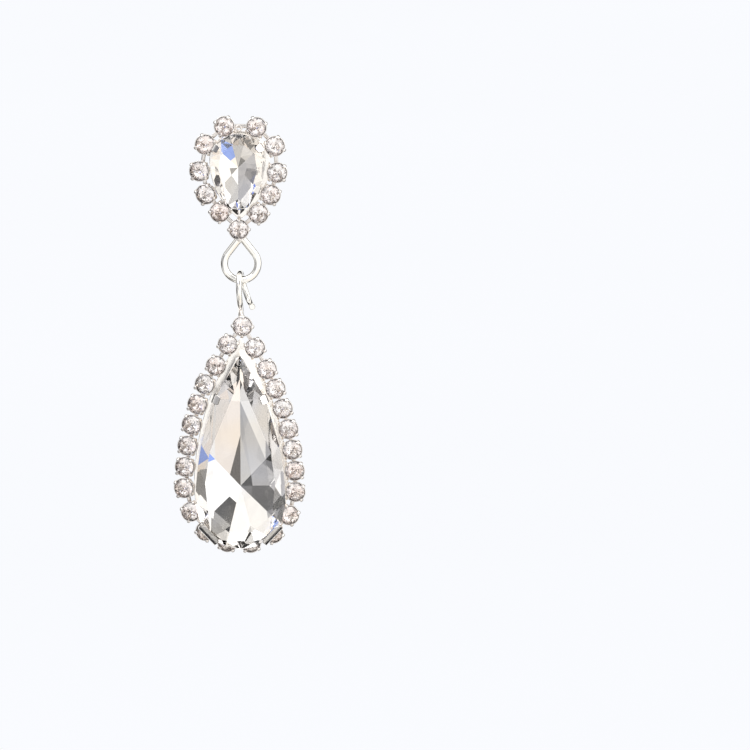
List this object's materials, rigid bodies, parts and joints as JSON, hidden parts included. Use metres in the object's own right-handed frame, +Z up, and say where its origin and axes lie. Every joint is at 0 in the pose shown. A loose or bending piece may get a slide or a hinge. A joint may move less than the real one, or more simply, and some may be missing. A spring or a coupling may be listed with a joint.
{
  "type": "teardrop earring",
  "caption": "Drop earring: a pear crystal stud cluster with a post, and a longer pear crystal cluster that swings from it on a wire loop.",
  "frame": {"origin": "on the axis of the ear post, in the flat back plane of the stud that lies against the lobe", "axes": "+Z up, +X to the right seen from the front, +Y back along the post into the lobe; the crystals face -Y"},
  "size_m": [0.0175, 0.0154, 0.059],
  "materials": {
    "silver_plate": "polished",
    "crystal": "gloss"
  },
  "bodies": {
    "stud": {"stud_frame": "silver_plate", "stud_stone": "crystal", "stud_brilliant_01": "crystal", "stud_brilliant_02": "crystal", "stud_brilliant_03": "crystal", "stud_brilliant_04": "crystal", "stud_brilliant_05": "crystal", "stud_brilliant_06": "crystal", "stud_brilliant_07": "crystal", "stud_brilliant_08": "crystal", "stud_brilliant_09": "crystal", "stud_brilliant_10": "crystal", "stud_brilliant_11": "crystal"},
    "drop": {"drop_frame": "silver_plate", "drop_stone": "crystal", "drop_brilliant_01": "crystal", "drop_brilliant_02": "crystal", "drop_brilliant_03": "crystal", "drop_brilliant_04": "crystal", "drop_brilliant_05": "crystal", "drop_brilliant_06": "crystal", "drop_brilliant_07": "crystal", "drop_brilliant_08": "crystal", "drop_brilliant_09": "crystal", "drop_brilliant_10": "crystal", "drop_brilliant_11": "crystal", "drop_brilliant_12": "crystal", "drop_brilliant_13": "crystal", "drop_brilliant_14": "crystal", "drop_brilliant_15": "crystal", "drop_brilliant_16": "crystal", "drop_brilliant_17": "crystal", "drop_brilliant_18": "crystal", "drop_brilliant_19": "crystal", "drop_brilliant_20": "crystal", "drop_brilliant_21": "crystal", "drop_brilliant_22": "crystal", "drop_brilliant_23": "crystal"}
  },
  "joints": [
    {"name": "drop_swing", "type": "hinge", "parent": "stud", "child": "drop", "pos_m": [0.00015, -0.00075, -0.01595], "axis": [1, 0, 0], "range_deg": [-75, 75]}
  ]
}
